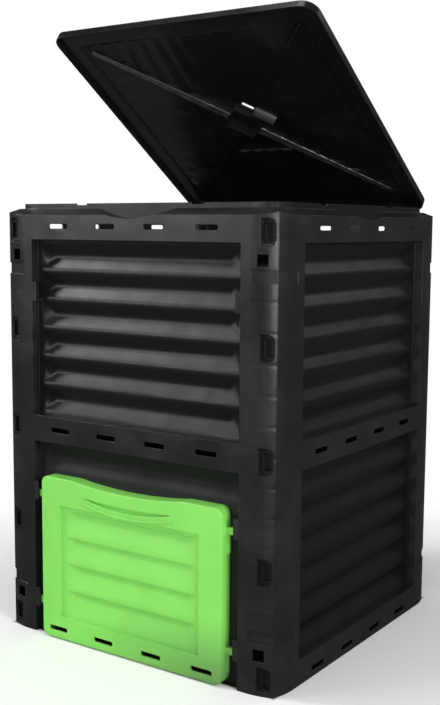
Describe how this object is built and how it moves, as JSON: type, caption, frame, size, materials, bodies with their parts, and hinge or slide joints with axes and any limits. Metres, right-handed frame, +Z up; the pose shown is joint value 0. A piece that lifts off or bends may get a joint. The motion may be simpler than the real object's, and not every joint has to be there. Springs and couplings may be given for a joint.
{
  "type": "compost bin",
  "caption": "Square upright garden compost bin with ribbed vented walls hooked at the corners, a lift-out front door and a hinged lid with a sliding vent.",
  "frame": {"origin": "on the ground at the middle of the bin's square plan", "axes": "+Z up, -Y out of the front wall with the door, +X to the right seen from the front"},
  "size_m": [0.61, 0.622, 1.1338],
  "materials": {
    "wall_plastic": "satin moulded black",
    "lid_plastic": "smooth moulded black",
    "door_plastic": "satin moulded lime green",
    "slider_plastic": "satin moulded dark grey"
  },
  "bodies": {
    "bin": {"front_wall": "wall_plastic", "back_wall": "wall_plastic", "left_wall": "wall_plastic", "right_wall": "wall_plastic", "corner_rod_front_left": "wall_plastic", "corner_rod_front_right": "wall_plastic", "corner_rod_back_left": "wall_plastic", "corner_rod_back_right": "wall_plastic", "hinge_pin_left": "wall_plastic", "hinge_pin_right": "wall_plastic"},
    "lid": {"lid": "lid_plastic"},
    "door": {"door": "door_plastic"},
    "vent_slider": {"vent_slider": "slider_plastic"}
  },
  "joints": [
    {"name": "lid_hinge", "type": "hinge", "parent": "bin", "child": "lid", "pos_m": [0, 0.293, 0.803], "axis": [-1, 0, 0], "range_deg": [-34, 76]},
    {"name": "door_lift", "type": "slide", "parent": "bin", "child": "door", "axis": [0, 0, 1], "range_m": [0, 0.033]},
    {"name": "vent_slide", "type": "slide", "parent": "lid", "child": "vent_slider", "axis": [-0.7071, -0.5862, 0.3954], "range_m": [0, 0.034]}
  ]
}
